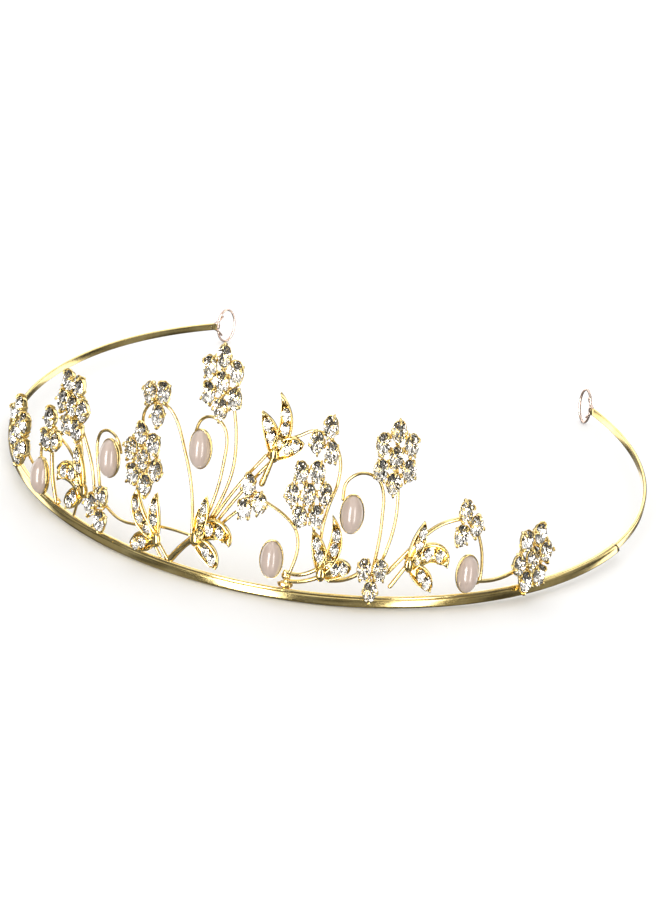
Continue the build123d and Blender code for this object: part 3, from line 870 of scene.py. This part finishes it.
def add_lobe(shape, local, marks, stones_end, seed):
    """One lobe of a sprig's casting, blunt at its foot and pointed at its tip."""
    foot, middle, tip = marks
    edges = []
    for side in (1, -1):
        root = beside(foot, foot, middle, side * LOBE_FOOT_HALF_WIDTH)
        edges.append(arc_through(root, beside(middle, foot, tip, side * LOBE_HALF_WIDTH), tip))
    left, right = edges
    tops = []
    for i in range(LOBE_LENGTH_STEPS + 1):
        along = 0.004 + 0.992 * i / LOBE_LENGTH_STEPS
        start, end = left(along), right(along)
        for j in range(LOBE_WIDTH_STEPS + 1):
            across = -1 + 2 * j / LOBE_WIDTH_STEPS
            at = start.lerp(end, j / LOBE_WIDTH_STEPS)
            tops.append(Vector((at.x, at.y, lobe_height(along, across, stones_end, seed))))
    row = LOBE_WIDTH_STEPS + 1
    count_top = len(tops)
    bottoms = [Vector((p.x, p.y, 0.06 if 0 < n % row < row - 1 else 0.22)) for n, p in enumerate(tops)]
    faces = []
    slots = []
    for i in range(LOBE_LENGTH_STEPS):
        for j in range(LOBE_WIDTH_STEPS):
            a = i * row + j
            faces.append([a, a + row, a + row + 1, a + 1])
            faces.append([count_top + a, count_top + a + 1, count_top + a + row + 1, count_top + a + row])
            slots += [1 if (i / LOBE_LENGTH_STEPS > stones_end) else 0, 0]
    for i in range(LOBE_LENGTH_STEPS):
        a = i * row
        faces.append([a, count_top + a, count_top + a + row, a + row])
        b = a + row - 1
        faces.append([b, b + row, count_top + b + row, count_top + b])
        slots += [0, 0]
    for j in range(LOBE_WIDTH_STEPS):
        faces.append([j, j + 1, count_top + j + 1, count_top + j])
        b = LOBE_LENGTH_STEPS * row + j
        faces.append([b, count_top + b, count_top + b + 1, b + 1])
        slots += [0, 0]
    base = len(shape.points)
    shape.points += [local @ p for p in tops + bottoms]
    for face, slot in zip(faces, slots):
        shape.faces.append([base + index for index in face])
        shape.smooth.append(True)
        shape.slots.append(slot)


sprig_crystals = Shape()
for number, (angle, height, turn, hand) in enumerate(SPRIGS, start=1):
    local = band_frame(angle, height, ORNAMENT_BACK)
    casting = Shape()
    add_lathe(
        casting,
        [(0.02, 0.02), (1.5, 0.04), (1.75, 0.3), (1.6, 0.85), (0.9, 1.05), (0.02, 1.1)],
        20,
        local @ squeeze,
    )
    for index, lobe in enumerate(SPRIG_LOBES):
        _, length, _, first, count = lobe
        marks = lobe_marks(turn, hand, lobe)
        step = STONE_STEP / length
        stones_end = first + step * (count - 1) + SPRIG_STONE / length
        add_lobe(casting, local, marks, stones_end, number * 3.0 + index)
        midline = arc_through(*marks)
        for stone in range(count):
            share = first + step * stone
            spot = midline(share)
            at = local @ Matrix.Translation((spot.x, spot.y, SPRIG_STONE_SEAT)) @ squeeze
            add_stone(sprig_crystals, SPRIG_STONE * 1.02, at, 0.6 * stone + number)
            heading = (midline(share + 0.02) - midline(share - 0.02)).normalized()
            normal = Vector((-heading.y, heading.x))
            for way in (-1, 1):
                bead = midline(share + step / 2) + Vector((
                    normal.x * way * SQUEEZE * 1.15, normal.y * way * 1.15
                ))
                if stone < count - 1:
                    at_bead = local @ Matrix.Translation((bead.x, bead.y, 1.12))
                    add_lump(casting, at_bead, (0.2, 0.3, 0.28), 0.1, stone + number, 6, 8)
    if number == STALK_SPRIG:
        path = [Vector((STALK_END[0] * t, STALK_END[1] * t, 0.55)) for t in [k / 14 for k in range(15)]]
        radii = [0.5 + 0.3 * k / 14 + 0.05 * noise_at((k, 0, 0), 0.7, 2.0) for k in range(15)]
        add_tube(casting, path, radii, 12, 0.8, local, 1)
    casting.make(
        f"sprig_{number}_leaves", [setting_gold, tip_gold], [f"sprig_{number}_casting"]
    )
sprig_crystals.make("sprig_crystals", [crystal, foil], ["sprig_stones"])

# ---- Pearls ------------------------------------------------------------------------------

PEARL_RINGS = 20
PEARL_SIDES = 48
for number, (angle, height) in enumerate(PEARLS, start=1):
    local = band_frame(angle, height, ORNAMENT_BACK)
    oval = Matrix.Diagonal((PEARL_HALF_WIDTH / PEARL_HALF_HEIGHT, 1.0, 1.0, 1.0))
    pearl = Shape()
    profile = [(0.02, PEARL_SEAT)]
    for ring in range(PEARL_RINGS + 1):
        polar = pi / 2 * ring / PEARL_RINGS
        profile.append((
            max(PEARL_HALF_HEIGHT * cos(polar), 0.02), PEARL_SEAT + PEARL_DEPTH * sin(polar)
        ))
    add_lathe(pearl, profile, PEARL_SIDES, local @ oval)
    pearl.make(f"half_pearl_{number}", [pearl_skin], [f"pearl_{number}"])
    cup = Shape()
    wall_oval = Matrix.Diagonal((PEARL_CUP_HALF_WIDTH / PEARL_CUP_HALF_HEIGHT, 1.0, 1.0, 1.0))
    add_lathe(
        cup,
        [
            (0.02, 0.1), (2.6, 0.1), (3.3, 0.0), (3.9, 0.03), (4.16, 0.2), (4.3, 0.5), (4.34, 0.9),
            (4.32, 1.06), (4.24, 1.12), (4.15, 1.02), (4.1, 0.84), (0.02, 0.82),
        ],
        PEARL_SIDES,
        local @ wall_oval,
    )
    cup.make(f"pearl_{number}_tray", [setting_gold], [f"pearl_{number}_cup"])

# ---- Scroll wires and solder ---------------------------------------------------------------

for name, (wire_radius, routes) in WIRES.items():
    wires = Shape()
    out = ORNAMENT_BACK - SOLDER_GAP - wire_radius
    for index, stops in enumerate(routes):
        path = smooth_route(stops, out)
        radii = [
            wire_radius * (0.98 + 0.05 * noise_at((k * 0.35, index, 0), 0.5, len(name)))
            for k in range(len(path))
        ]
        add_tube(wires, path, radii, 12, 1.0, None, 0, Vector((0, -1, 0)))
    wires.make(f"{name}_wire", [wire_gold], [name])

solder = Shape()
for index, (spot, half_width, half_height) in enumerate(SOLDER_SPOTS):
    add_lump(
        solder, band_frame(*spot, -0.1), (half_width, half_height, 0.62), 0.22, index * 2.3, 14, 22
    )
solder.make("solder_lumps", [solder_gold], ["solder_joints"])

# ---- Floor, light and camera ---------------------------------------------------------------


def math_node(tree, operation, first, second=0.0, third=0.0):
    """Result of one step of arithmetic between values or sockets."""
    node = tree.nodes.new("ShaderNodeMath")
    node.operation = operation
    for socket, value in zip(node.inputs, (first, second, third)):
        if isinstance(value, (int, float)):
            socket.default_value = value
        else:
            tree.links.new(value, socket)
    return node.outputs[0]


def soft_step(tree, value, low, high):
    """0 below low, 1 above high, smooth between."""
    node = tree.nodes.new("ShaderNodeMapRange")
    node.interpolation_type = "SMOOTHSTEP"
    node.inputs["From Min"].default_value = low
    node.inputs["From Max"].default_value = high
    tree.links.new(value, node.inputs["Value"])
    return node.outputs["Result"]


CAMERA_AZIMUTH = 17.3
CAMERA_ELEVATION = 26.3
CAMERA_ROLL = 5.4
CAMERA_DISTANCE = 595.0
CAMERA_LENS = 108.27
CAMERA_SHIFT = (0.0022, 0.0067)

# Studio that the metal and stones mirror: azimuth, half width, lowest, highest and strength
SOFTBOXES = [
    (CAMERA_AZIMUTH - 26, 7.5, -40.0, 12.0, 12.0),
    (CAMERA_AZIMUTH + 30, 5.0, -40.0, 12.0, 7.0),
    (CAMERA_AZIMUTH + 125, 10.0, -35.0, 25.0, 2.2),
    (CAMERA_AZIMUTH - 125, 10.0, -35.0, 25.0, 2.2),
    (CAMERA_AZIMUTH + 180, 14.0, -30.0, 30.0, 1.6),
]

world = bpy.data.worlds.new("studio")
bpy.context.scene.world = world
world.use_nodes = True
tree = world.node_tree
tree.nodes.clear()
where = tree.nodes.new("ShaderNodeTexCoord")
split = tree.nodes.new("ShaderNodeSeparateXYZ")
tree.links.new(where.outputs["Generated"], split.inputs[0])
x, y, z = split.outputs[0], split.outputs[1], split.outputs[2]
elevation = math_node(tree, "MULTIPLY", math_node(tree, "ARCSINE", z), 180 / pi)
frontwards = math_node(tree, "MULTIPLY", y, -1.0)
azimuth = math_node(tree, "MULTIPLY", math_node(tree, "ARCTAN2", x, frontwards), 180 / pi)
overhead = soft_step(tree, elevation, 8.0, 55.0)
glow = math_node(tree, "MULTIPLY_ADD", overhead, 0.95, 0.2)
room = tree.nodes.new("ShaderNodeTexNoise")
room.inputs["Scale"].default_value = 3.4
room.inputs["Detail"].default_value = 1.5
tree.links.new(where.outputs["Generated"], room.inputs["Vector"])
patches = soft_step(tree, room.outputs["Fac"], 0.42, 0.56)
glow = math_node(tree, "MULTIPLY", glow, math_node(tree, "MULTIPLY_ADD", patches, 1.25, 0.3))
for box_azimuth, half_width, lowest, highest, strength in SOFTBOXES:
    away = math_node(tree, "SUBTRACT", azimuth, box_azimuth)
    away = math_node(tree, "ABSOLUTE", math_node(tree, "WRAP", away, 180.0, -180.0))
    sideways = math_node(tree, "SUBTRACT", 1.0, soft_step(tree, away, half_width, half_width + 3.0))
    above = soft_step(tree, elevation, lowest, lowest + 6.0)
    below = math_node(tree, "SUBTRACT", 1.0, soft_step(tree, elevation, highest, highest + 6.0))
    mask = math_node(tree, "MULTIPLY", sideways, math_node(tree, "MULTIPLY", above, below))
    glow = math_node(tree, "MULTIPLY_ADD", mask, strength, glow)
studio = tree.nodes.new("ShaderNodeBackground")
studio.inputs["Color"].default_value = (1.0, 0.985, 0.97, 1.0)
tree.links.new(glow, studio.inputs["Strength"])
plain = tree.nodes.new("ShaderNodeBackground")
plain.inputs["Color"].default_value = (1.0, 1.0, 1.0, 1.0)
plain.inputs["Strength"].default_value = 1.06
path_kind = tree.nodes.new("ShaderNodeLightPath")
is_plain = math_node(
    tree, "MAXIMUM", path_kind.outputs["Is Camera Ray"], path_kind.outputs["Is Diffuse Ray"]
)
mix = tree.nodes.new("ShaderNodeMixShader")
tree.links.new(is_plain, mix.inputs["Fac"])
tree.links.new(studio.outputs[0], mix.inputs[1])
tree.links.new(plain.outputs[0], mix.inputs[2])
output = tree.nodes.new("ShaderNodeOutputWorld")
tree.links.new(mix.outputs[0], output.inputs["Surface"])

FLOOR_HALF = 1.6
floor_mesh = bpy.data.meshes.new("floor")
floor_mesh.from_pydata(
    [(x * FLOOR_HALF, y * FLOOR_HALF, 0) for x, y in ((-1, -1), (1, -1), (1, 1), (-1, 1))],
    [],
    [(0, 1, 2, 3)],
)
floor = bpy.data.objects.new("floor", floor_mesh)
bpy.context.scene.collection.objects.link(floor)
floor_material, floor_tree, floor_shader = new_material("pale_floor")
floor_shader.inputs["Base Color"].default_value = (0.97, 0.97, 0.97, 1.0)
floor_shader.inputs["Roughness"].default_value = 1.0
floor_shader.inputs["Specular IOR Level"].default_value = 0.0
floor_mesh.materials.append(floor_material)
floor.visible_glossy = False
floor.visible_transmission = False

camera_data = bpy.data.cameras.new("camera")
camera_data.lens = CAMERA_LENS
camera_data.sensor_width = 36.0
camera_data.shift_x, camera_data.shift_y = CAMERA_SHIFT
camera_data.clip_start = 0.01
camera_data.clip_end = 10.0
camera = bpy.data.objects.new("camera", camera_data)
bpy.context.scene.collection.objects.link(camera)
azimuth_turn = radians(CAMERA_AZIMUTH)
lift = radians(CAMERA_ELEVATION)
back = Vector((sin(azimuth_turn) * cos(lift), -cos(azimuth_turn) * cos(lift), sin(lift)))
right = Vector((cos(azimuth_turn), sin(azimuth_turn), 0))
up = back.cross(right)
roll = radians(CAMERA_ROLL)
rolled_right = right * cos(roll) + up * sin(roll)
rolled_up = up * cos(roll) - right * sin(roll)
camera_frame = Matrix((rolled_right, rolled_up, back)).transposed().to_4x4()
camera_frame.translation = back * CAMERA_DISTANCE
placed = STANCE @ camera_frame
camera.matrix_world = Matrix.LocRotScale(placed.to_translation(), placed.to_quaternion(), None)
bpy.context.scene.camera = camera

bpy.context.scene.view_settings.view_transform = "Standard"
